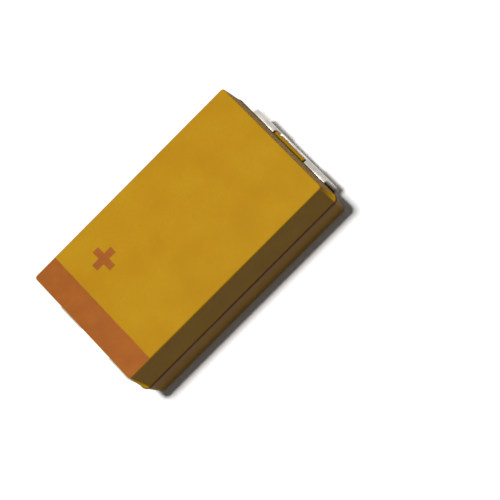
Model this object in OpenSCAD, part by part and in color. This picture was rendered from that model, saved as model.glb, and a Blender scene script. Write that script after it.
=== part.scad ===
// Moulded tantalum chip capacitor, C case.
// Origin at the middle of the two feet's lower faces, +Z up.
// The anode (positive) end is at -X and the cathode end at +X.

/* [Envelope] */
// Length over the two terminals
length = 6.0; // [5.4:0.1:7.3]
// Width over the parting line's flash
case_w = 3.2; // [3.0:0.1:4.4]
// Height from the board to the top face
height = 2.6; // [2.3:0.1:3.2]

/* [Moulded case] */
// Gap under the case between the feet
standoff = 0.05; // [0.02:0.01:0.08]
// Draft angle of the walls, away from the parting line both ways
draft = 3.3; // [1:0.1:4]
// Radius of the upright corners at the parting line
corner_r = 0.14; // [0.14:0.01:0.3]
// Radius of the top and bottom edges
edge_r = 0.03; // [0.01:0.01:0.03]
// How far the parting line's flash stands out
flash_out = 0.012; // [0.005:0.001:0.02]
// Thickness of the flash
flash_t = 0.03; // [0.02:0.01:0.06]

/* [Terminals] */
// Thickness of the tinned strip
strip_t = 0.10; // [0.08:0.01:0.12]
// Width of the strip outside the case
strip_w = 2.2; // [2.0:0.1:2.6]
// Inner radius of the fold over the case's edge
fold_r = 0.02; // [0.01:0.01:0.04]
// Inner radius of the fold under the case
heel_r = 0.08; // [0.05:0.01:0.1]
// Length of a foot, from the terminal's outer face
foot_l = 1.3; // [1.0:0.1:1.6]
// Gap between a foot and the case above it and beside it
foot_gap = 0.02; // [0.01:0.01:0.04]
// Width of the window that leaves two prongs
window_w = 0.96; // [0.7:0.02:1.2]
// Depth of the window below the parting line
window_drop = 0.45; // [0.3:0.05:0.6]
// How far the window reaches inside the case's wall
window_in = 0.20; // [0.1:0.05:0.3]

/* [End bosses] */
// Clearance between a boss and the edges of its window
boss_gap = 0.045; // [0.02:0.005:0.08]
// How far a boss stays below the terminal's outer face
boss_inset = 0.05; // [0.02:0.01:0.1]
// Radius of the boss's outer edges
boss_r = 0.07; // [0.03:0.01:0.1]

/* [Anode tab] */
// Length of the full-width root inside the wall
root_l = 0.50; // [0.4:0.05:0.6]
// Width of the tab that carries the wire
tab_w = 0.9; // [0.6:0.1:1.4]
// Length of the tab beyond the root
tab_l = 0.70; // [0.5:0.05:0.9]
// Corner radius of the stamped strip inside the case
stamp_r = 0.12; // [0.05:0.01:0.2]

/* [Cathode cradle] */
// Thickness of resin between the case's end and the riser
riser_wall = 0.40; // [0.36:0.02:0.5]
// Width of the cradle under the pellet
cradle_w = 1.8; // [1.4:0.1:2.2]
// Length of the cradle under the pellet
cradle_l = 1.7; // [1.2:0.1:2.4]
// Inner radius of the cradle's bends
bend_r = 0.08; // [0.05:0.01:0.12]
// Thickness of the silver adhesive
glue_t = 0.03; // [0.02:0.01:0.04]
// Width of the silver adhesive
glue_w = 1.6; // [1.2:0.1:1.8]
// How far the adhesive stays inside the cradle's free end
glue_margin = 0.12; // [0.05:0.01:0.2]
// Height of the adhesive up the pellet's end
glue_h = 0.55; // [0.3:0.05:0.7]

/* [Pellet and wire] */
// Thickness of resin above the coated pellet
top_cover = 0.41; // [0.25:0.01:0.6]
// Thickness of resin beside the coated pellet, at the parting line
side_cover = 0.46; // [0.3:0.01:0.7]
// Distance from the case's end to the pellet's wire face
wire_room = 1.84; // [1.5:0.02:2.2]
// Radius of the pellet's long edges
pellet_r = 0.15; // [0.05:0.05:0.3]
// Diameter of the anode wire
wire_d = 0.26; // [0.2:0.02:0.3]
// Depth of the wire in the pellet
wire_in = 2.2; // [1.5:0.1:2.6]
// Depth of the wire's weld seat in the tab
weld_seat = 0.03; // [0.01:0.01:0.05]
// Distance from the tab's root to the wire's end
wire_end = 0.08; // [0:0.02:0.2]

/* [Layers] */
// Thickness of the manganese dioxide
mno2_t = 0.04; // [0.02:0.01:0.06]
// Thickness of the graphite
graphite_t = 0.02; // [0.01:0.01:0.03]
// Thickness of the silver
silver_t = 0.03; // [0.02:0.01:0.05]
// Step by which each outer layer stops short of the one below
layer_step = 0.12; // [0.05:0.01:0.2]
// Diameter of the washer on the wire
washer_d = 0.8; // [0.6:0.05:1]
// Thickness of the washer
washer_t = 0.12; // [0.08:0.01:0.15]

/* [Polarity band] */
// Width of the printed band from the top face's end
band_w = 0.61; // [0.4:0.05:1]
// Thickness of the ink
ink_t = 0.012; // [0.005:0.001:0.02]

/* [Hidden] */
$fn = 48;
ochre = [0.73, 0.54, 0.10];
band_brown = [0.64, 0.35, 0.09];
tin = [0.80, 0.79, 0.76];
over = 1; // overshoot of a cutting body
edge_steps = 4; // flats that make up a rounded case edge

// The two mould halves meet at mid height
part_z = height / 2;

// Terminal: stations of the strip's path at the +X end
plate_out = length / 2; // outer face of the upright plate
plate_in = plate_out - strip_t;
fold_x = plate_in - fold_r; // axis of the fold, on the case's end
fold_z = part_z - strip_t - fold_r;
heel_x = plate_in - heel_r;
heel_z = strip_t + heel_r;
foot_x = plate_out - foot_l; // the foot's free end
window_z = part_z - window_drop;

// Case: walls at the parting line, without the flash
wall_x = fold_x - flash_out;
wall_y = case_w / 2 - flash_out;
top_h = height - part_z;
base_h = part_z - standoff;

// Anode: the wire lies on the tab, and the pellet is centred on it
root_x = fold_x - root_l;
tab_x = root_x - tab_l;
wire_z = part_z + wire_d / 2 - weld_seat;
layers_t = mno2_t + graphite_t + silver_t;

// Pellet: as large as the resin around it and the cradle's riser let it be
riser_out = fold_x - riser_wall; // face of the riser away from the pellet
riser_in = riser_out - strip_t;
pellet_x0 = wire_room - fold_x;
pellet_x1 = riser_in - glue_t - layers_t;
pellet_w = case_w - 2 * (side_cover + layers_t);
pellet_h = 2 * (height - top_cover - layers_t - wire_z);
cradle_z = wire_z - pellet_h / 2 - layers_t - glue_t; // upper face of the cradle
cradle_x = riser_in - cradle_l;

// ---------- helpers ----------

// Extrudes a side view, drawn as x across and z up, to a width centred on the middle plane
module side_view(width) {
    rotate([90, 0, 0])
        linear_extrude(width, center = true)
            children();
}

// The same shape at both ends
module both_ends() {
    children();
    mirror([1, 0, 0])
        children();
}

// A block between two stations of a side view
module span(x0, x1, z0, z1) {
    translate([x0, z0])
        square([x1 - x0, z1 - z0]);
}

// A quarter of a bent strip about a centre, in the quadrant given by the signs of x and z
module quarter_bend(x, z, inner_r, x_sign, z_sign) {
    outer_r = inner_r + strip_t;
    translate([x, z])
        intersection() {
            difference() {
                circle(outer_r);
                circle(inner_r);
            }
            translate([min(x_sign, 0) * outer_r, min(z_sign, 0) * outer_r])
                square(outer_r);
        }
}

// A rectangle centred on the origin with rounded corners
module rounded_rect(w, h, r) {
    square([w - 2 * r, h], center = true);
    square([w, h - 2 * r], center = true);
    for (x = [-1, 1], y = [-1, 1])
        translate([x * (w / 2 - r), y * (h / 2 - r)])
            circle(r);
}

// ---------- moulded case ----------

// Section of a moulded wall above the parting plane: from an inner line at x = 0 out to a reach,
// leaning in by the draft and rounded at its far edge
module wall_section(reach, h) {
    edge_x = reach - (h - edge_r) * tan(draft) - edge_r / cos(draft);
    round_edge = [
        for (i = [0:edge_steps])
            let (a = draft + (90 - draft) * i / edge_steps)
                [edge_x + edge_r * cos(a), h - edge_r + edge_r * sin(a)]
    ];
    polygon(concat([[0, 0], [reach, 0]], round_edge, [[0, h]]));
}

// One mould half, standing on the parting plane: a core, with the wall's section carried along
// its four sides and turned about the upright axis of each corner
module mould_half(h) {
    core_x = wall_x - corner_r;
    core_y = wall_y - corner_r;
    translate([-core_x, -core_y, 0])
        cube([2 * core_x, 2 * core_y, h]);
    for (turn = [0, 180]) {
        rotate([0, 0, turn])
            translate([core_x, 0, 0])
                side_view(2 * core_y)
                    wall_section(corner_r, h);
        rotate([0, 0, turn + 90])
            translate([core_y, 0, 0])
                side_view(2 * core_x)
                    wall_section(corner_r, h);
    }
    for (x = [0, 1], y = [0, 1])
        mirror([x, 0, 0])
            mirror([0, y, 0])
                translate([core_x, core_y, 0])
                    rotate_extrude(angle = 90)
                        wall_section(corner_r, h);
}

// Thin fin that the two mould halves leave around the body
module flash() {
    translate([0, 0, part_z - flash_t / 2])
        linear_extrude(flash_t)
            rounded_rect(2 * fold_x, case_w, corner_r + flash_out);
}

// Block that fills the terminal's window at the +X end
module boss() {
    inner = wall_x - corner_r;
    outer = plate_out - boss_inset;
    bottom = window_z + boss_gap;
    side_view(window_w - 2 * boss_gap)
        union() {
            span(inner, outer - boss_r, bottom, part_z);
            span(inner, outer, bottom + boss_r, part_z - boss_r);
            for (z = [bottom + boss_r, part_z - boss_r])
                translate([outer - boss_r, z])
                    circle(boss_r);
        }
}

// Pocket in the base that the +X foot folds into
module foot_pocket() {
    side_view(strip_w + 2 * foot_gap)
        span(foot_x - foot_gap, plate_out, standoff - over, strip_t + foot_gap);
}

module case_body() {
    translate([0, 0, part_z])
        mould_half(top_h);
    translate([0, 0, part_z])
        mirror([0, 0, 1])
            mould_half(base_h);
    flash();
}

module case() {
    color(ochre)
        difference() {
            union() {
                difference() {
                    case_body();
                    both_ends() foot_pocket();
                }
                both_ends() boss();
            }
            anode_strip();
            cathode_strip();
            mno2_block();
            graphite_block();
            silver_block();
            washer_disc();
            wire_rod();
            adhesive();
            band_field();
        }
}

// The part of the top skin that the band's ink takes up
module band_field() {
    top_x = wall_x - top_h * tan(draft);
    intersection() {
        translate([0, 0, part_z])
            mould_half(top_h);
        translate([-wall_x, -case_w / 2, height - ink_t])
            cube([wall_x - top_x + band_w, case_w, over]);
    }
}

module polarity_band() {
    color(band_brown)
        band_field();
}

// ---------- terminals ----------

// Side view of the strip outside the case: fold, plate, heel and foot
module outer_strip_view() {
    quarter_bend(fold_x, fold_z, fold_r, 1, 1);
    span(plate_in, plate_out, heel_z, fold_z);
    quarter_bend(heel_x, heel_z, heel_r, 1, -1);
    span(foot_x, heel_x, 0, strip_t);
}

// Cuts the window that leaves the two prongs
module window_cut() {
    side_view(window_w)
        span(fold_x - window_in, plate_out + over, window_z, part_z + over);
}

// Plan of the anode strip inside the wall: a full-width root, then the narrower tab with a rounded end
module tab_plan() {
    sunk_l = tab_l + 2 * stamp_r; // the tab's other round end lies within the root
    translate([root_x, -strip_w / 2])
        square([root_l, strip_w]);
    translate([tab_x + sunk_l / 2, 0])
        rounded_rect(sunk_l, tab_w, stamp_r);
}

// The anode strip, whole, with the wire's seat not yet cut
module anode_strip() {
    mirror([1, 0, 0])
        difference() {
            union() {
                side_view(strip_w)
                    outer_strip_view();
                translate([0, 0, part_z - strip_t])
                    linear_extrude(strip_t)
                        tab_plan();
            }
            window_cut();
        }
}

module anode_terminal() {
    color(tin)
        difference() {
            anode_strip();
            wire_rod();
        }
}

// Side view of the cathode strip inside: the riser down and the cradle under the pellet
module cradle_view() {
    quarter_bend(riser_out + bend_r, part_z - strip_t - bend_r, bend_r, -1, 1);
    span(riser_in, riser_out, cradle_z + bend_r, part_z - strip_t - bend_r);
    quarter_bend(riser_in - bend_r, cradle_z + bend_r, bend_r, 1, -1);
    span(cradle_x, riser_in - bend_r, cradle_z - strip_t, cradle_z);
}

module cathode_strip() {
    difference() {
        union() {
            side_view(strip_w)
                union() {
                    outer_strip_view();
                    span(riser_out + bend_r, fold_x, part_z - strip_t, part_z);
                }
            side_view(cradle_w)
                cradle_view();
        }
        window_cut();
    }
}

module cathode_terminal() {
    color(tin)
        cathode_strip();
}

// ---------- capacitor element ----------

// The pellet grown by a layer's outer thickness, from a station near the wire's face
// to the same thickness past the far face
module layer_block(grow, x0) {
    x1 = pellet_x1 + grow;
    translate([x0, 0, wire_z])
        rotate([90, 0, 90])
            linear_extrude(x1 - x0)
                rounded_rect(pellet_w + 2 * grow, pellet_h + 2 * grow, pellet_r + grow);
}

module pellet_block() {
    layer_block(0, pellet_x0);
}

module mno2_block() {
    layer_block(mno2_t, pellet_x0 - mno2_t);
}

module graphite_block() {
    layer_block(mno2_t + graphite_t, pellet_x0 + layer_step);
}

module silver_block() {
    layer_block(layers_t, pellet_x0 + 2 * layer_step);
}

// A round rod along X on the wire's axis
module rod(d, x0, x1) {
    translate([x0, 0, wire_z])
        rotate([0, 90, 0])
            cylinder(d = d, h = x1 - x0);
}

module wire_rod() {
    rod(wire_d, -root_x + wire_end, pellet_x0 + wire_in);
}

module washer_disc() {
    rod(washer_d, pellet_x0 - washer_t, pellet_x0);
}

module tantalum_pellet() {
    color([0.20, 0.20, 0.21])
        difference() {
            pellet_block();
            wire_rod();
        }
}

module tantalum_wire() {
    color([0.55, 0.56, 0.60])
        wire_rod();
}

module insulating_washer() {
    color([0.93, 0.93, 0.90])
        difference() {
            washer_disc();
            wire_rod();
        }
}

module manganese_dioxide_coat() {
    color([0.11, 0.10, 0.10])
        difference() {
            mno2_block();
            pellet_block();
            washer_disc();
        }
}

module graphite_coat() {
    color([0.24, 0.24, 0.25])
        difference() {
            graphite_block();
            mno2_block();
        }
}

module silver_coat() {
    color([0.75, 0.75, 0.76])
        difference() {
            silver_block();
            graphite_block();
        }
}

// Conductive bond: fills the cradle's corner and runs under the pellet and up its end
module adhesive() {
    difference() {
        side_view(glue_w)
            union() {
                span(cradle_x + glue_margin, riser_in - bend_r, cradle_z, cradle_z + glue_h);
                span(riser_in - 2 * bend_r, riser_in, cradle_z + bend_r, cradle_z + glue_h);
                translate([riser_in - bend_r, cradle_z + bend_r])
                    circle(bend_r);
            }
        silver_block();
    }
}

module silver_adhesive() {
    color([0.62, 0.62, 0.63])
        adhesive();
}

case();
polarity_band();
anode_terminal();
cathode_terminal();
tantalum_pellet();
tantalum_wire();
insulating_washer();
manganese_dioxide_coat();
graphite_coat();
silver_coat();
silver_adhesive();
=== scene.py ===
"""A moulded tantalum chip capacitor in the C case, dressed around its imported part."""
import math

import bmesh
import bpy
from mathutils import Matrix, Vector


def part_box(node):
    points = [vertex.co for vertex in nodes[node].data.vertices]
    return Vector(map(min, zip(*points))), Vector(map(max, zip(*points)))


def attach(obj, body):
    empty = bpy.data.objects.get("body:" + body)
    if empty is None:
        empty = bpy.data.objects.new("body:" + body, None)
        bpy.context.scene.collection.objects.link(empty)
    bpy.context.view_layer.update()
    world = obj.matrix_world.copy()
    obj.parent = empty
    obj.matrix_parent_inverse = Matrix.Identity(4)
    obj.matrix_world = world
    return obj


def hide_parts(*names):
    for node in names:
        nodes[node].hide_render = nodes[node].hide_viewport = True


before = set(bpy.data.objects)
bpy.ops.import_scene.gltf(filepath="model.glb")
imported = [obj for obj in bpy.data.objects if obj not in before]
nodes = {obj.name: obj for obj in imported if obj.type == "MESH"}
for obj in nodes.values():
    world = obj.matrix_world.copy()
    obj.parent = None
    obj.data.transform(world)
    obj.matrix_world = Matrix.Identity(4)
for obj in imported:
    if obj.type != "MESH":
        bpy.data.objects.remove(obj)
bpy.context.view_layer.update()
mm = 0.001

# ---------- camera ----------
# It looks down over the long side and a little past the cathode end, and is rolled so that the
# capacitor lies from corner to corner of the view.
camera_turn, camera_rise, camera_roll = (math.radians(a) for a in (9.833, 73.517, -54.504))
camera_distance = 49.508 * mm
camera_aim = (1.2244 * mm, -0.1417 * mm)  # across and up from the part's middle
camera_lens, camera_sensor = 168.0, 36
mid_height = 1.3 * mm

camera_data = bpy.data.cameras.new("camera")
camera_data.sensor_width = camera_sensor
camera_data.lens = camera_lens
camera_data.clip_start = 1 * mm
camera_data.clip_end = 2
camera = bpy.data.objects.new("camera", camera_data)
bpy.context.scene.collection.objects.link(camera)
facing = (
    Matrix.Rotation(camera_turn, 4, "Z")
    @ Matrix.Rotation(math.pi / 2 - camera_rise, 4, "X")
    @ Matrix.Rotation(camera_roll, 4, "Z")
)
stand = facing @ Vector((*camera_aim, camera_distance)) + Vector((0, 0, mid_height))
camera.matrix_world = Matrix.Translation(stand) @ facing
bpy.context.scene.camera = camera
bpy.context.scene.view_settings.view_transform = "Standard"

# ---------- floor and light ----------
# A white card under one large soft lamp, nearly overhead, so that only a narrow shadow falls on
# the card along the near side. The card throws back less light than it shows.
lamp_distance = 120 * mm
lamp_width = 11 * mm
lamp_lean = (math.radians(2.5), math.radians(3.7))  # towards the anode end, towards the far side
lamp_level = 0.97
sky_level = 0.05
card_bounce = 0.22
card_glow = 0.03
card_width = 600 * mm
card_drop = 0.0005 * mm  # keeps the card's face apart from the feet's

lamp_data = bpy.data.lights.new("lamp", "AREA")
lamp_data.shape = "DISK"
lamp_data.size = lamp_width
lamp_data.energy = lamp_level * math.pi**2 * lamp_distance**2
lamp = bpy.data.objects.new("lamp", lamp_data)
bpy.context.scene.collection.objects.link(lamp)
lamp_at = Vector((-math.tan(lamp_lean[0]), math.tan(lamp_lean[1]), 1)).normalized()
lamp.matrix_world = Matrix.Translation(lamp_at * lamp_distance) @ (
    lamp_at.to_track_quat("Z", "Y").to_matrix().to_4x4()
)


def shown_rays(tree):
    """A value that is 1 for rays that show a thing, straight or mirrored, and 0 for its light."""
    path = tree.nodes.new("ShaderNodeLightPath")
    both = tree.nodes.new("ShaderNodeMath")
    both.operation = "MAXIMUM"
    tree.links.new(path.outputs["Is Camera Ray"], both.inputs[0])
    tree.links.new(path.outputs["Is Glossy Ray"], both.inputs[1])
    all_three = tree.nodes.new("ShaderNodeMath")
    all_three.operation = "MAXIMUM"
    tree.links.new(both.outputs[0], all_three.inputs[0])
    tree.links.new(path.outputs["Is Transmission Ray"], all_three.inputs[1])
    return all_three.outputs[0]


world = bpy.data.worlds.new("studio")
bpy.context.scene.world = world
world.use_nodes = True
sky = world.node_tree.nodes["Background"]
sky.inputs["Color"].default_value = (1, 1, 1, 1)
sky_map = world.node_tree.nodes.new("ShaderNodeMapRange")
sky_map.inputs["To Min"].default_value = sky_level
sky_map.inputs["To Max"].default_value = 1
world.node_tree.links.new(shown_rays(world.node_tree), sky_map.inputs["Value"])
world.node_tree.links.new(sky_map.outputs["Result"], sky.inputs["Strength"])

bpy.ops.object.select_all(action="DESELECT")
bpy.ops.mesh.primitive_plane_add(size=card_width, location=(0, 0, -card_drop))
floor = bpy.context.object
floor.name = "floor"
bpy.ops.object.transform_apply(location=True, rotation=True, scale=True)
card = bpy.data.materials.new("white card")
card.use_nodes = True
tree = card.node_tree
tree.nodes.remove(tree.nodes["Principled BSDF"])
dull = tree.nodes.new("ShaderNodeBsdfDiffuse")
dull.inputs["Color"].default_value = (card_bounce, card_bounce, card_bounce, 1)
bright = tree.nodes.new("ShaderNodeBsdfDiffuse")
bright.inputs["Color"].default_value = (1, 1, 1, 1)
glow = tree.nodes.new("ShaderNodeEmission")
glow.inputs["Strength"].default_value = card_glow
shown = tree.nodes.new("ShaderNodeAddShader")
tree.links.new(bright.outputs[0], shown.inputs[0])
tree.links.new(glow.outputs[0], shown.inputs[1])
choice = tree.nodes.new("ShaderNodeMixShader")
tree.links.new(shown_rays(tree), choice.inputs["Fac"])
tree.links.new(dull.outputs[0], choice.inputs[1])
tree.links.new(shown.outputs[0], choice.inputs[2])
tree.links.new(choice.outputs[0], tree.nodes["Material Output"].inputs["Surface"])
floor.data.materials.append(card)

# ---------- tantalum pellet and wire ----------
# The pellet is tantalum powder pressed round its wire and sintered to a hard sponge. The wire is
# drawn tantalum, with fine lines along it.


def make_grain_group():
    """Coarse mottling of two colours, a roughness that follows it, and a fine relief."""
    group = bpy.data.node_groups.new("grain", "ShaderNodeTree")
    ins = (
        ("Dark", "NodeSocketColor"), ("Light", "NodeSocketColor"),
        ("Mottle Size", "NodeSocketFloat"), ("Relief Size", "NodeSocketFloat"),
        ("Relief Depth", "NodeSocketFloat"), ("Stretch", "NodeSocketVector"),
        ("Smoothest", "NodeSocketFloat"), ("Roughest", "NodeSocketFloat"),
    )
    for name, kind in ins:
        group.interface.new_socket(name, in_out="INPUT", socket_type=kind)
    outs = (
        ("Colour", "NodeSocketColor"), ("Roughness", "NodeSocketFloat"),
        ("Normal", "NodeSocketVector"), ("Mottle", "NodeSocketFloat"),
        ("Relief", "NodeSocketFloat"),
    )
    for name, kind in outs:
        group.interface.new_socket(name, in_out="OUTPUT", socket_type=kind)
    new, join = group.nodes.new, group.links.new
    given, result = new("NodeGroupInput"), new("NodeGroupOutput")
    place = new("ShaderNodeTexCoord")
    stretched = new("ShaderNodeVectorMath")
    stretched.operation = "MULTIPLY"
    join(place.outputs["Object"], stretched.inputs[0])
    join(given.outputs["Stretch"], stretched.inputs[1])
    noises = {}
    for name, detail in (("Mottle", 5), ("Relief", 3)):
        size = new("ShaderNodeMath")
        size.operation = "DIVIDE"
        size.inputs[0].default_value = 1
        join(given.outputs[name + " Size"], size.inputs[1])
        noise = new("ShaderNodeTexNoise")
        noise.inputs["Detail"].default_value = detail
        join(stretched.outputs[0], noise.inputs["Vector"])
        join(size.outputs[0], noise.inputs["Scale"])
        spread = new("ShaderNodeMapRange")
        spread.inputs["From Min"].default_value = 0.3
        spread.inputs["From Max"].default_value = 0.7
        join(noise.outputs["Fac"], spread.inputs["Value"])
        noises[name] = spread.outputs["Result"]
        join(noises[name], result.inputs[name])
    blend = new("ShaderNodeMix")
    blend.data_type = "RGBA"
    join(noises["Mottle"], blend.inputs["Factor"])
    join(given.outputs["Dark"], blend.inputs[6])
    join(given.outputs["Light"], blend.inputs[7])
    join(blend.outputs[2], result.inputs["Colour"])
    rough = new("ShaderNodeMapRange")
    join(noises["Relief"], rough.inputs["Value"])
    join(given.outputs["Smoothest"], rough.inputs["To Min"])
    join(given.outputs["Roughest"], rough.inputs["To Max"])
    join(rough.outputs["Result"], result.inputs["Roughness"])
    bump = new("ShaderNodeBump")
    join(noises["Relief"], bump.inputs["Height"])
    join(given.outputs["Relief Depth"], bump.inputs["Distance"])
    join(bump.outputs["Normal"], result.inputs["Normal"])
    return group


grain_group = make_grain_group()


def finish_of(
    name, dark, light, mottle, relief, depth, rough, metal=0.0, gloss=0.5, stretch=(1, 1, 1)
):
    """A material whose colour, roughness and normal come from the grain group.

    Returns it with its Principled shader, for what a finish adds."""
    material = bpy.data.materials.new(name)
    material.use_nodes = True
    tree = material.node_tree
    shader = tree.nodes["Principled BSDF"]
    shader.inputs["Metallic"].default_value = metal
    shader.inputs["Specular IOR Level"].default_value = gloss
    grain = tree.nodes.new("ShaderNodeGroup")
    grain.node_tree = grain_group
    grain.inputs["Dark"].default_value = (*dark, 1)
    grain.inputs["Light"].default_value = (*light, 1)
    grain.inputs["Mottle Size"].default_value = mottle
    grain.inputs["Relief Size"].default_value = relief
    grain.inputs["Relief Depth"].default_value = depth
    grain.inputs["Stretch"].default_value = stretch
    grain.inputs["Smoothest"].default_value, grain.inputs["Roughest"].default_value = rough
    tree.links.new(grain.outputs["Colour"], shader.inputs["Base Color"])
    tree.links.new(grain.outputs["Roughness"], shader.inputs["Roughness"])
    tree.links.new(grain.outputs["Normal"], shader.inputs["Normal"])
    return material, shader


def dress(node, material):
    """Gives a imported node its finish."""
    nodes[node].data.materials.clear()
    nodes[node].data.materials.append(material)


sponge, _ = finish_of(
    "sintered tantalum", (0.030, 0.030, 0.033), (0.085, 0.085, 0.090),
    mottle=0.12 * mm, relief=0.02 * mm, depth=0.006 * mm, rough=(0.6, 0.9), metal=0.6,
)
dress("tantalum_pellet", sponge)
drawn, _ = finish_of(
    "drawn tantalum", (0.28, 0.29, 0.32), (0.40, 0.41, 0.44),
    mottle=0.2 * mm, relief=0.02 * mm, depth=0.0008 * mm, rough=(0.25, 0.42), metal=1.0,
    stretch=(0.1, 1, 1),
)
dress("tantalum_wire", drawn)

# ---------- insulating washer ----------
# A ring of white fluoropolymer, punched from sheet and threaded on the wire, which keeps the
# cathode's layers off it.
waxy, _ = finish_of(
    "white fluoropolymer", (0.74, 0.74, 0.71), (0.86, 0.86, 0.84),
    mottle=0.2 * mm, relief=0.03 * mm, depth=0.001 * mm, rough=(0.4, 0.55),
)
dress("insulating_washer", waxy)

# ---------- coats on the pellet ----------
# Manganese dioxide grown from nitrate baths, a dip of graphite over it, and a dip of silver
# paint over that, each stopping short of the one below at the wire's end.
oxide, _ = finish_of(
    "manganese dioxide", (0.008, 0.007, 0.007), (0.030, 0.026, 0.024),
    mottle=0.08 * mm, relief=0.015 * mm, depth=0.004 * mm, rough=(0.65, 0.95),
)
dress("manganese_dioxide_coat", oxide)
carbon, _ = finish_of(
    "graphite", (0.030, 0.030, 0.032), (0.070, 0.070, 0.072),
    mottle=0.15 * mm, relief=0.02 * mm, depth=0.002 * mm, rough=(0.35, 0.6), metal=0.3,
)
dress("graphite_coat", carbon)
paint, _ = finish_of(
    "silver paint", (0.48, 0.48, 0.49), (0.66, 0.66, 0.66),
    mottle=0.25 * mm, relief=0.012 * mm, depth=0.002 * mm, rough=(0.4, 0.65), metal=0.85,
)
dress("silver_coat", paint)

# ---------- terminals ----------
# Two strips of tinned nickel-iron, stamped from one lead frame and folded round the case after
# moulding. The anode's ends in a tab for the wire, and the cathode's in a cradle for the pellet.
strip_t, strip_w = 0.10 * mm, 2.2 * mm
part_z = mid_height
plate_out = 3.0 * mm
fold_x, fold_z = 2.88 * mm, 1.18 * mm
heel_x, heel_z = 2.82 * mm, 0.18 * mm
foot_x = 1.7 * mm
window_w, window_z, window_x = 0.96 * mm, 0.85 * mm, 2.68 * mm
root_x, tab_x, tab_w, tab_r = 2.38 * mm, 1.68 * mm, 0.9 * mm, 0.12 * mm
bend_r, bend_x, cradle_x, cradle_w = 0.08 * mm, 2.56 * mm, 0.68 * mm, 1.8 * mm
riser_in, cradle_z = 2.38 * mm, 0.58 * mm
sheared_r, window_r = 0.012 * mm, 0.04 * mm
bend_steps = 8
near = 0.001 * mm  # how close a corner lies to a station it is picked by
sharp_angle, smooth_angle = math.radians(50), math.radians(35)


def block(name, low, high):
    """A box added at its size and place, its object at the origin."""
    low, high = Vector(low), Vector(high)
    bpy.ops.object.select_all(action="DESELECT")
    bpy.ops.mesh.primitive_cube_add(size=1, location=(low + high) / 2, scale=high - low)
    bpy.ops.object.transform_apply(location=True, rotation=True, scale=True)
    piece = bpy.context.object
    piece.name = piece.data.name = name
    return piece


def edit(piece):
    """Opens a piece in edit mode with nothing selected."""
    bpy.ops.object.select_all(action="DESELECT")
    piece.select_set(True)
    bpy.context.view_layer.objects.active = piece
    bpy.ops.object.mode_set(mode="EDIT")
    bpy.ops.mesh.select_all(action="DESELECT")


def pick(kind, test):
    """Selects the faces or edges of the piece in edit mode that pass a test."""
    bpy.ops.mesh.select_mode(type={"faces": "FACE", "edges": "EDGE"}[kind])
    bpy.ops.mesh.select_all(action="DESELECT")
    mesh = bpy.context.edit_object.data
    shape = bmesh.from_edit_mesh(mesh)
    for item in getattr(shape, kind):
        item.select_set(test(item))
    shape.select_flush_mode()
    bmesh.update_edit_mesh(mesh)


def push(x=0, y=0, z=0):
    """Extrudes the selected face and moves it."""
    bpy.ops.mesh.extrude_region_move(TRANSFORM_OT_translate={"value": (x, y, z)})


def bend(x, z, sense=1):
    """Spins the selected face through a right angle about an axis along Y."""
    bpy.ops.mesh.spin(steps=bend_steps, angle=math.pi / 2, center=(x, 0, z), axis=(0, sense, 0))


def pick_end(x, middle=False):
    """Selects the end face at a station, or only its middle part."""
    pick("faces", lambda f: f.normal.x < -0.9 and abs(f.calc_center_median().x - x) < near
         and f.calc_center_median().z > part_z - strip_t
         and (abs(f.calc_center_median().y) < near or not middle))


def narrow(x, width):
    """Splits the end face at a station and leaves only its middle selected, at a width."""
    for side in (-1, 1):
        pick_end(x)
        bpy.ops.mesh.bisect(plane_co=(0, side * width / 2, 0), plane_no=(0, 1, 0), threshold=near / 10)
    pick_end(x, middle=True)


def apply_modifiers(piece):
    """Applies a piece's modifiers in their order."""
    bpy.ops.object.select_all(action="DESELECT")
    piece.select_set(True)
    bpy.context.view_layer.objects.active = piece
    for modifier in list(piece.modifiers):
        bpy.ops.object.modifier_apply(modifier=modifier.name)


def combine(piece, operation, *tools, keep=False):
    """Cuts tools out of a piece, or joins them to it, and removes them unless they are kept."""
    for tool in tools:
        cut = piece.modifiers.new("cut", "BOOLEAN")
        cut.operation = operation
        cut.solver = "EXACT"
        cut.object = tool
    apply_modifiers(piece)
    if not keep:
        for tool in tools:
            bpy.data.objects.remove(tool)


def merged_copy(piece):
    """A copy of a piece with its doubled corners merged, to cut with."""
    tool = piece.copy()
    tool.data = piece.data.copy()
    tool.parent = None
    bpy.context.scene.collection.objects.link(tool)
    edit(tool)
    bpy.ops.mesh.select_all(action="SELECT")
    bpy.ops.mesh.remove_doubles(threshold=near)
    bpy.ops.object.mode_set(mode="OBJECT")
    return tool


def shade(piece):
    """Shades a piece smooth between its sharp edges, its broad faces flat."""
    bpy.ops.object.select_all(action="DESELECT")
    piece.select_set(True)
    bpy.context.view_layer.objects.active = piece
    bpy.ops.object.shade_smooth_by_angle(angle=smooth_angle)
    weigh = piece.modifiers.new("broad faces", "WEIGHTED_NORMAL")
    weigh.keep_sharp = True
    weigh.weight = 100
    apply_modifiers(piece)


def soften(piece, width):
    """Rounds a piece's sharp edges and shades it."""
    bevel = piece.modifiers.new("edges", "BEVEL")
    bevel.width = width
    bevel.segments = 2
    bevel.limit_method = "ANGLE"
    bevel.angle_limit = sharp_angle
    bevel.use_clamp_overlap = True
    apply_modifiers(piece)
    shade(piece)


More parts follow.
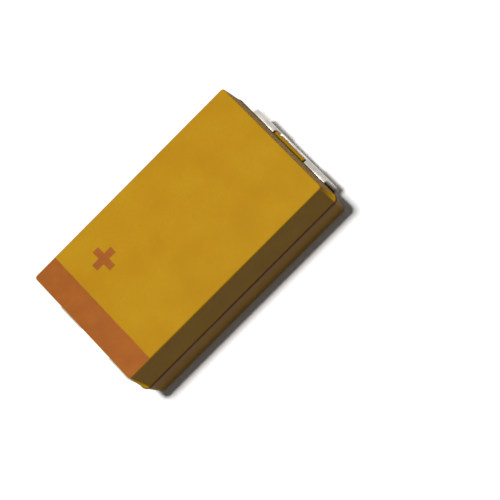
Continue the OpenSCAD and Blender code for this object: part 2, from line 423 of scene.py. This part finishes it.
def outer_strip(name):
    """The strip from its foot's free end to the case's wall, on the cathode's side, its end face
    at the wall left selected in edit mode."""
    bpy.ops.object.select_all(action="DESELECT")
    bpy.ops.mesh.primitive_plane_add(
        size=1, location=(foot_x, 0, strip_t / 2), rotation=(0, math.pi / 2, 0)
    )
    strip = bpy.context.object
    strip.scale = (strip_t, strip_w, 1)
    bpy.ops.object.transform_apply(location=True, rotation=True, scale=True)
    strip.name = strip.data.name = name
    edit(strip)
    bpy.ops.mesh.select_mode(type="FACE")
    bpy.ops.mesh.select_all(action="SELECT")
    push(x=heel_x - foot_x)
    bend(heel_x, heel_z)
    push(z=fold_z - heel_z)
    bend(fold_x, fold_z)
    return strip


def cut_window(strip):
    """Cuts the window that leaves two prongs, its lower corners rounded."""
    window = block(
        "window", (window_x, -window_w / 2, window_z), (plate_out + mm, window_w / 2, part_z + mm)
    )
    edit(window)
    pick("edges", lambda e: all(v.co.z < part_z for v in e.verts) and abs(
        e.verts[0].co.x - e.verts[1].co.x) > 0.1 * mm)
    bpy.ops.mesh.bevel(offset=window_r, segments=4, affect="EDGES")
    bpy.ops.object.mode_set(mode="OBJECT")
    combine(strip, "DIFFERENCE", window)


def turn_out(piece):
    """Points a closed shape's faces outwards."""
    edit(piece)
    bpy.ops.mesh.select_all(action="SELECT")
    bpy.ops.mesh.normals_make_consistent(inside=False)
    bpy.ops.object.mode_set(mode="OBJECT")


anode = outer_strip("anode_terminal_strip")
push(x=root_x - fold_x)
narrow(root_x, tab_w)
push(x=tab_x - root_x)
pick("edges", lambda e: all(abs(v.co.x - tab_x) < near for v in e.verts)
     and abs(e.verts[0].co.z - e.verts[1].co.z) > strip_t / 2)
bpy.ops.mesh.bevel(offset=tab_r, segments=8, affect="EDGES")
bpy.ops.object.mode_set(mode="OBJECT")
cut_window(anode)
edit(anode)
bpy.ops.mesh.select_all(action="SELECT")
bpy.ops.transform.resize(value=(-1, 1, 1), center_override=(0, 0, 0))
bpy.ops.object.mode_set(mode="OBJECT")
turn_out(anode)
combine(anode, "DIFFERENCE", merged_copy(nodes["tantalum_wire"]))

cathode = outer_strip("cathode_terminal_strip")
push(x=bend_x - fold_x)
narrow(bend_x, cradle_w)
bend(bend_x, part_z - strip_t - bend_r)
push(z=cradle_z + bend_r - (part_z - strip_t - bend_r))
bend(riser_in - bend_r, cradle_z + bend_r, sense=-1)
push(x=cradle_x - (riser_in - bend_r))
bpy.ops.object.mode_set(mode="OBJECT")
turn_out(cathode)
cut_window(cathode)

tin, _ = finish_of(
    "tinned strip", (0.42, 0.39, 0.34), (0.66, 0.62, 0.55),
    mottle=0.35 * mm, relief=0.03 * mm, depth=0.0012 * mm, rough=(0.22, 0.42), metal=1.0,
)
for piece, node in ((anode, "anode_terminal"), (cathode, "cathode_terminal")):
    soften(piece, sheared_r)
    piece.data.materials.append(tin)
    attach(piece, "root")
    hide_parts(node)

# ---------- silver adhesive ----------
# Silver-filled epoxy, dispensed in the cradle before the pellet is laid in it, and cured.
glue, _ = finish_of(
    "silver epoxy", (0.36, 0.36, 0.36), (0.58, 0.58, 0.57),
    mottle=0.1 * mm, relief=0.01 * mm, depth=0.002 * mm, rough=(0.45, 0.7), metal=0.7,
)
dress("silver_adhesive", glue)

# ---------- moulded case ----------
# Ochre epoxy, filled with silica and moulded round the element in a two-part mould. The walls
# lean in from the parting line, where a thin flash is left, and a boss fills each window.
case_h, base_z = 2.6 * mm, 0.05 * mm
half_w = 1.6 * mm
flash_out, flash_t = 0.012 * mm, 0.03 * mm
corner_r, edge_r = 0.14 * mm, 0.03 * mm
draft = math.tan(math.radians(3.3))
boss_out, boss_r = 2.95 * mm, 0.07 * mm
boss_half_w, boss_z = 0.435 * mm, 0.895 * mm
pocket_gap = 0.02 * mm

case = block(
    "moulded_case",
    (-fold_x, -half_w, part_z - flash_t / 2),
    (fold_x, half_w, part_z + flash_t / 2),
)
edit(case)
pick("edges", lambda e: abs(e.verts[0].co.z - e.verts[1].co.z) > flash_t / 2)
bpy.ops.mesh.bevel(offset=corner_r + flash_out, segments=8, affect="EDGES")
for side, level in ((1, case_h), (-1, base_z)):
    rise = abs(level - part_z) - flash_t / 2
    pick("faces", lambda f: f.normal.z * side > 0.9)
    bpy.ops.mesh.inset(thickness=flash_out + flash_t / 2 * draft, depth=0)
    bpy.ops.mesh.inset(thickness=rise * draft, depth=rise)
    pick("edges", lambda e: all(abs(v.co.z - level) < near / 10 for v in e.verts))
    bpy.ops.mesh.bevel(offset=edge_r, segments=4, affect="EDGES")
bpy.ops.object.mode_set(mode="OBJECT")

band_x, ink_t = -2.183 * mm, 0.012 * mm
band = merged_copy(case)
band.name = band.data.name = "printed_band"
field = block("field", (-plate_out, -2 * half_w, case_h - ink_t), (band_x, 2 * half_w, case_h + mm))
combine(band, "INTERSECT", field, keep=True)
combine(case, "DIFFERENCE", field)
mark_x, mark_y = -1.46 * mm, 0.72 * mm
mark_span, mark_stroke = 0.56 * mm, 0.17 * mm
mark_t, mark_proud, mark_r = 0.006 * mm, 0.002 * mm, 0.012 * mm


def cross(name, top):
    """A plus sign's two bars, joined, from the bottom of its ink up to a level."""
    bars = []
    for long, wide in ((mark_span, mark_stroke), (mark_stroke, mark_span)):
        bars.append(block(
            name,
            (mark_x - long / 2, mark_y - wide / 2, case_h - mark_t),
            (mark_x + long / 2, mark_y + wide / 2, top),
        ))
    combine(bars[0], "UNION", bars[1])
    edit(bars[0])
    pick("edges", lambda e: abs(e.verts[0].co.z - e.verts[1].co.z) > mark_t / 2)
    bpy.ops.mesh.bevel(offset=mark_r, segments=3, affect="EDGES")
    bpy.ops.object.mode_set(mode="OBJECT")
    return bars[0]


mark = cross("plus_mark", case_h + mark_proud)
combine(case, "DIFFERENCE", cross("mark_field", case_h + mm))

for side in (-1, 1):
    x0, x1 = sorted((side * (foot_x - pocket_gap), side * (plate_out + mm)))
    pocket = block(
        "pocket",
        (x0, -strip_w / 2 - pocket_gap, -mm),
        (x1, strip_w / 2 + pocket_gap, strip_t + pocket_gap),
    )
    combine(case, "DIFFERENCE", pocket)
    x0, x1 = sorted((side * (fold_x - 2 * corner_r), side * boss_out))
    boss = block("boss", (x0, -boss_half_w, boss_z), (x1, boss_half_w, part_z))
    edit(boss)
    pick("edges", lambda e: all(abs(v.co.x) > boss_out - near for v in e.verts)
         and abs(e.verts[0].co.y - e.verts[1].co.y) > boss_half_w)
    bpy.ops.mesh.bevel(offset=boss_r, segments=6, affect="EDGES")
    bpy.ops.object.mode_set(mode="OBJECT")
    combine(case, "UNION", boss)
combine(case, "DIFFERENCE", anode, cathode, keep=True)
coat_r = {
    "silver_coat": 0.24 * mm, "graphite_coat": 0.21 * mm, "manganese_dioxide_coat": 0.19 * mm
}
for node, long_r in coat_r.items():
    room = block("room", *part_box(node))
    edit(room)
    pick("edges", lambda e: abs(e.verts[0].co.x - e.verts[1].co.x) > mm)
    bpy.ops.mesh.bevel(offset=long_r, segments=12, affect="EDGES")
    bpy.ops.object.mode_set(mode="OBJECT")
    combine(case, "DIFFERENCE", room)
combine(case, "DIFFERENCE", block("room", *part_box("silver_adhesive")))
wire_ease = 0.003 * mm  # keeps the wire's room clear of its seat in the tab
for node, ease in (("insulating_washer", 0), ("tantalum_wire", wire_ease)):
    low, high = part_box(node)
    bpy.ops.object.select_all(action="DESELECT")
    bpy.ops.mesh.primitive_cylinder_add(
        vertices=48, radius=(high.z - low.z) / 2 + ease, depth=high.x - low.x + 2 * ease,
        location=(low + high) / 2, rotation=(0, math.pi / 2, 0),
    )
    bpy.ops.object.transform_apply(location=True, rotation=True, scale=True)
    combine(case, "DIFFERENCE", bpy.context.object)


def make_wear_and_sheen_group():
    """A mask of a piece's sharp edges, broken up along them by noise."""
    group = bpy.data.node_groups.new("edge wear and sheen", "ShaderNodeTree")
    for name in ("Reach", "Patch Size", "Amount"):
        group.interface.new_socket(name, in_out="INPUT", socket_type="NodeSocketFloat")
    group.interface.new_socket("Mask", in_out="OUTPUT", socket_type="NodeSocketFloat")
    new, join = group.nodes.new, group.links.new
    given, result = new("NodeGroupInput"), new("NodeGroupOutput")
    rounded, true = new("ShaderNodeBevel"), new("ShaderNodeNewGeometry")
    rounded.samples = 8
    join(given.outputs["Reach"], rounded.inputs["Radius"])
    across = new("ShaderNodeVectorMath")
    across.operation = "DOT_PRODUCT"
    join(rounded.outputs["Normal"], across.inputs[0])
    join(true.outputs["True Normal"], across.inputs[1])
    edge = new("ShaderNodeMapRange")
    edge.inputs["From Min"].default_value = 0.99
    edge.inputs["From Max"].default_value = 0.80
    join(across.outputs["Value"], edge.inputs["Value"])
    place, noise, size = new("ShaderNodeTexCoord"), new("ShaderNodeTexNoise"), new("ShaderNodeMath")
    size.operation = "DIVIDE"
    size.inputs[0].default_value = 1
    join(given.outputs["Patch Size"], size.inputs[1])
    join(place.outputs["Object"], noise.inputs["Vector"])
    join(size.outputs[0], noise.inputs["Scale"])
    patch = new("ShaderNodeMapRange")
    patch.inputs["From Min"].default_value = 0.35
    patch.inputs["From Max"].default_value = 0.65
    join(noise.outputs["Fac"], patch.inputs["Value"])
    both, scaled = new("ShaderNodeMath"), new("ShaderNodeMath")
    both.operation = scaled.operation = "MULTIPLY"
    join(edge.outputs["Result"], both.inputs[0])
    join(patch.outputs["Result"], both.inputs[1])
    join(both.outputs[0], scaled.inputs[0])
    join(given.outputs["Amount"], scaled.inputs[1])
    join(scaled.outputs[0], result.inputs["Mask"])
    return group


wear_and_sheen_group = make_wear_and_sheen_group()


def wear_and_sheen(tree, shader, colour, reach, patch, amount):
    """Lays a colour over what the shader has along the edges, as wear or as a painted edge highlight.
    """
    mask = tree.nodes.new("ShaderNodeGroup")
    mask.node_tree = wear_and_sheen_group
    mask.inputs["Reach"].default_value = reach
    mask.inputs["Patch Size"].default_value = patch
    mask.inputs["Amount"].default_value = amount
    over = tree.nodes.new("ShaderNodeMix")
    over.data_type = "RGBA"
    tree.links.new(mask.outputs["Mask"], over.inputs["Factor"])
    tree.links.new(shader.inputs["Base Color"].links[0].from_socket, over.inputs[6])
    over.inputs[7].default_value = (*colour, 1)
    tree.links.new(over.outputs[2], shader.inputs["Base Color"])


ochre_dark, ochre_light = (0.455, 0.225, 0.002), (0.500, 0.265, 0.004)
epoxy, shader = finish_of(
    "moulded epoxy", ochre_dark, ochre_light,
    mottle=0.9 * mm, relief=0.035 * mm, depth=0.0012 * mm, rough=(0.52, 0.70), gloss=0.08,
)
tree = epoxy.node_tree
seam_z, seam_core, seam_fade = part_z - 0.05 * mm, 0.05 * mm, 0.16 * mm
seam_wander, seam_patch = 0.03 * mm, 0.3 * mm
# The lower half's tint is painted shade; the parting line's dark colour is partly dark resin, partly
# painted shade.
lower_half_painted_shade, dark_resin_and_painted_shade = 0.42, (0.085, 0.016, 0.001)
# On the epoxy the lighter ochre along the edges is partly wear and partly a painted highlight, where
# the rounded edges catch the lamp.
wear_and_sheen(tree, shader, (0.60, 0.33, 0.02), 0.05 * mm, 0.25 * mm, 0.6)
# The colour is darkest along the parting line, partly resin pinched between the halves' edges and
# partly painted shade under the flash; the lower half is darkened with painted shade, as it faces
# down.
place = tree.nodes.new("ShaderNodeTexCoord")
axes = tree.nodes.new("ShaderNodeSeparateXYZ")
tree.links.new(place.outputs["Object"], axes.inputs[0])
seam_noise = tree.nodes.new("ShaderNodeTexNoise")
seam_noise.inputs["Scale"].default_value = 1 / seam_patch
tree.links.new(place.outputs["Object"], seam_noise.inputs["Vector"])
wander = tree.nodes.new("ShaderNodeMath")
wander.operation = "MULTIPLY_ADD"
wander.inputs[1].default_value = seam_wander
tree.links.new(seam_noise.outputs["Fac"], wander.inputs[0])
tree.links.new(axes.outputs["Z"], wander.inputs[2])
off = tree.nodes.new("ShaderNodeMath")
off.operation = "SUBTRACT"
off.inputs[1].default_value = seam_z
tree.links.new(wander.outputs[0], off.inputs[0])
size = tree.nodes.new("ShaderNodeMath")
size.operation = "ABSOLUTE"
tree.links.new(off.outputs[0], size.inputs[0])
seam = tree.nodes.new("ShaderNodeMapRange")
seam.interpolation_type = "SMOOTHSTEP"
seam.inputs["From Min"].default_value = seam_fade
seam.inputs["From Max"].default_value = seam_core
tree.links.new(size.outputs[0], seam.inputs["Value"])
reach = tree.nodes.new("ShaderNodeMath")
reach.operation = "ABSOLUTE"
tree.links.new(axes.outputs["X"], reach.inputs[0])
on_body = tree.nodes.new("ShaderNodeMath")
on_body.operation = "LESS_THAN"
on_body.inputs[1].default_value = fold_x + 0.004 * mm
tree.links.new(reach.outputs[0], on_body.inputs[0])
below = tree.nodes.new("ShaderNodeMapRange")
below.inputs["From Min"].default_value = seam_wander
below.inputs["From Max"].default_value = -seam_wander
below.inputs["To Max"].default_value = lower_half_painted_shade
tree.links.new(off.outputs[0], below.inputs["Value"])
darker = tree.nodes.new("ShaderNodeMath")
darker.operation = "MAXIMUM"
tree.links.new(seam.outputs["Result"], darker.inputs[0])
tree.links.new(below.outputs["Result"], darker.inputs[1])
off_boss = tree.nodes.new("ShaderNodeMath")
off_boss.operation = "MULTIPLY"
tree.links.new(darker.outputs[0], off_boss.inputs[0])
tree.links.new(on_body.outputs[0], off_boss.inputs[1])
stain_and_shade = tree.nodes.new("ShaderNodeMix")
stain_and_shade.data_type = "RGBA"
tree.links.new(off_boss.outputs[0], stain_and_shade.inputs["Factor"])
tree.links.new(shader.inputs["Base Color"].links[0].from_socket, stain_and_shade.inputs[6])
stain_and_shade.inputs[7].default_value = (*dark_resin_and_painted_shade, 1)
tree.links.new(stain_and_shade.outputs[2], shader.inputs["Base Color"])
case.data.materials.append(epoxy)
shade(case)
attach(case, "root")
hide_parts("case")

# ---------- polarity band and plus sign ----------
# Brown ink, pad-printed on the top face at the anode's end after moulding and baked on.
ink, shader = finish_of(
    "brown ink", (0.320, 0.080, 0.002), (0.370, 0.103, 0.005),
    mottle=0.3 * mm, relief=0.02 * mm, depth=0.0008 * mm, rough=(0.5, 0.68), gloss=0.15,
)
wear_and_sheen(ink.node_tree, shader, (0.47, 0.24, 0.01), 0.03 * mm, 0.12 * mm, 0.8)
for piece in (band, mark):
    piece.data.materials.clear()
    piece.data.materials.append(ink)
    shade(piece)
    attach(piece, "root")
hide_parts("polarity_band")
